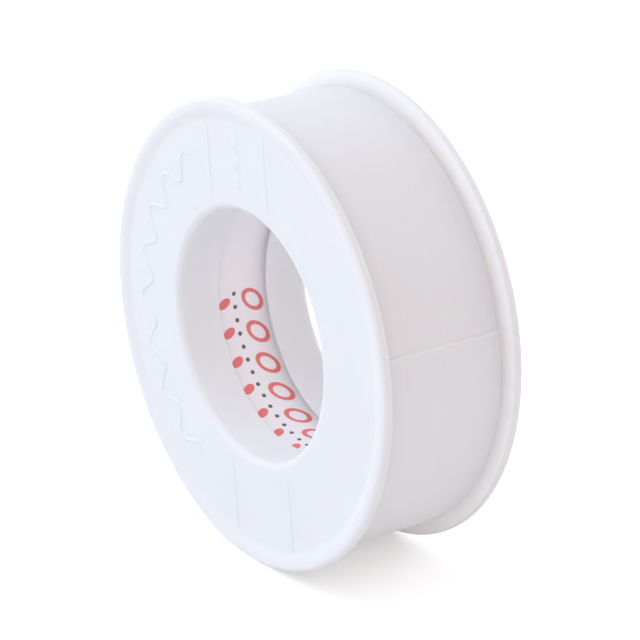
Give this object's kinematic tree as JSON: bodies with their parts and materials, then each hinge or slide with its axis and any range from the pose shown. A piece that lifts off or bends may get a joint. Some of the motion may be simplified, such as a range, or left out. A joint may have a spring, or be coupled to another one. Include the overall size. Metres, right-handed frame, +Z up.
{
  "type": "roll of electrical tape",
  "caption": "Roll of white insulating tape wound on a core tube between push-in side flanges, with a loose end to peel and a bore to hang it on.",
  "frame": {"origin": "on the floor under the middle of the roll, where it stands on its rims", "axes": "+Z up, the roll's axis along Y, the front flange faces -Y"},
  "size_m": [0.056, 0.019, 0.056],
  "materials": {
    "flange_plastic": "smooth satin moulded plastic, white",
    "tape_film": "soft satin vinyl film, white",
    "core_card": "pale card, printed inside"
  },
  "bodies": {
    "wound_core": {"core_tube": "core_card", "tape_winding": "tape_film"},
    "front_flange": {"front_flange": "flange_plastic"},
    "rear_flange": {"rear_flange": "flange_plastic"},
    "free_end": {"tape_free_end": "tape_film"}
  },
  "joints": [
    {"name": "front_flange_pull", "type": "slide", "parent": "wound_core", "child": "front_flange", "axis": [0, -1, 0], "range_m": [0, 0.008]},
    {"name": "rear_flange_pull", "type": "slide", "parent": "wound_core", "child": "rear_flange", "axis": [0, 1, 0], "range_m": [0, 0.008]},
    {"name": "free_end_peel", "type": "hinge", "parent": "wound_core", "child": "free_end", "pos_m": [0.01783, 0, 0.00855], "axis": [0, 1, 0], "range_deg": [0, 75]}
  ]
}
